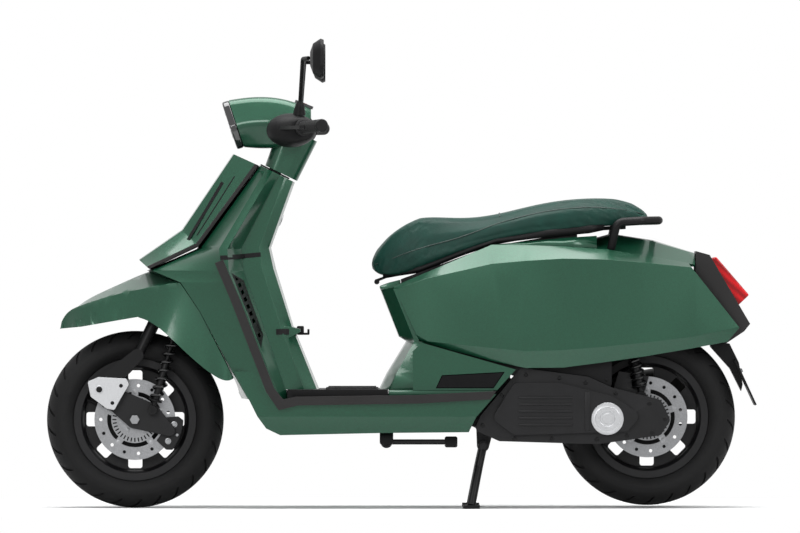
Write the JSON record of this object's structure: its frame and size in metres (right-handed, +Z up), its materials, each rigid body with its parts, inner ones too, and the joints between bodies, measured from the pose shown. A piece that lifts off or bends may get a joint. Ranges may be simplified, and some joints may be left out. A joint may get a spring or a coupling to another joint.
{
  "type": "motor scooter",
  "caption": "Step-through motor scooter with faceted panels, a trailing-link front fork, a hinged seat over a storage bin and a centre stand.",
  "frame": {"origin": "middle of the bounding box on the floor", "axes": "+X ahead, +Y to the rider's left, +Z up"},
  "size_m": [1.897, 0.778, 1.248],
  "materials": {
    "body_paint": "metallic gloss",
    "black_plastic": "fine grain",
    "grey_trim": "satin",
    "black_metal": "satin black",
    "cast_black": "black coated casting",
    "steel": "brushed",
    "silver": "satin",
    "tyre": "matte",
    "rubber": "matte",
    "leather": "soft grain",
    "red_lens": "clear gloss",
    "dark_lens": "clear gloss",
    "mirror": "polished"
  },
  "bodies": {
    "chassis": {"frame": "black_metal", "leg_shield": "body_paint", "front_spine": "body_paint", "spine_trim": "grey_trim", "knee_panel": "body_paint", "edge_trim": "grey_trim", "front_mudguard": "body_paint", "floor_board": "black_plastic", "floor_mats": "rubber", "under_seat_panel": "body_paint", "side_insets": "black_plastic", "side_panel_left": "body_paint", "side_panel_right": "body_paint", "tail_cowl": "body_paint", "tail_lamp_housing": "grey_trim", "tail_lamp_lens": "red_lens", "plate_holder": "black_plastic", "storage_bin": "black_plastic", "grab_rail": "black_metal", "engine_block": "cast_black", "transmission_case": "cast_black", "transmission_cap": "silver", "air_filter_box": "black_plastic", "exhaust": "black_metal", "rear_shocks": "black_metal", "rear_arm": "cast_black", "rear_axle": "steel", "rear_caliper": "cast_black", "vent_grilles": "black_plastic"},
    "steering": {"steering_fork": "black_metal", "fork_links": "black_metal", "front_shocks": "black_metal", "front_axle": "steel", "front_caliper": "cast_black", "pivot_covers": "silver", "handlebar": "black_metal", "grips": "rubber", "controls": "black_plastic", "headset_cowl": "body_paint", "headlamp": "dark_lens", "instrument_panel": "dark_lens", "mirrors": "black_plastic", "mirror_glasses": "mirror"},
    "front_wheel": {"front_tyre": "tyre", "front_rim": "cast_black", "front_disc": "steel"},
    "rear_wheel": {"rear_tyre": "tyre", "rear_rim": "cast_black", "rear_disc": "steel"},
    "seat": {"seat_cushion": "leather", "seat_base": "black_plastic"},
    "centre_stand": {"centre_stand": "black_metal"},
    "side_stand": {"side_stand": "black_metal"}
  },
  "joints": [
    {"name": "steering_head", "type": "hinge", "parent": "chassis", "child": "steering", "pos_m": [0.316, 0, 0.945], "axis": [-0.4384, 0, 0.8988], "range_deg": [-40, 40]},
    {"name": "front_wheel_spin", "type": "hinge", "parent": "steering", "child": "front_wheel", "pos_m": [0.7121, 0, 0.2364], "axis": [0, 1, 0], "continuous": true},
    {"name": "rear_wheel_spin", "type": "hinge", "parent": "chassis", "child": "rear_wheel", "pos_m": [-0.6559, 0, 0.2434], "axis": [0, 1, 0], "continuous": true},
    {"name": "seat_hinge", "type": "hinge", "parent": "chassis", "child": "seat", "pos_m": [0.066, 0, 0.604], "axis": [0, 1, 0], "range_deg": [0, 60]},
    {"name": "centre_stand_pivot", "type": "hinge", "parent": "chassis", "child": "centre_stand", "pos_m": [-0.218, 0, 0.166], "axis": [0, 1, 0], "range_deg": [0, 78]},
    {"name": "side_stand_pivot", "type": "hinge", "parent": "chassis", "child": "side_stand", "pos_m": [0.04, 0.152, 0.178], "axis": [0, -0.8601, -0.5101], "range_deg": [0, 100]}
  ]
}
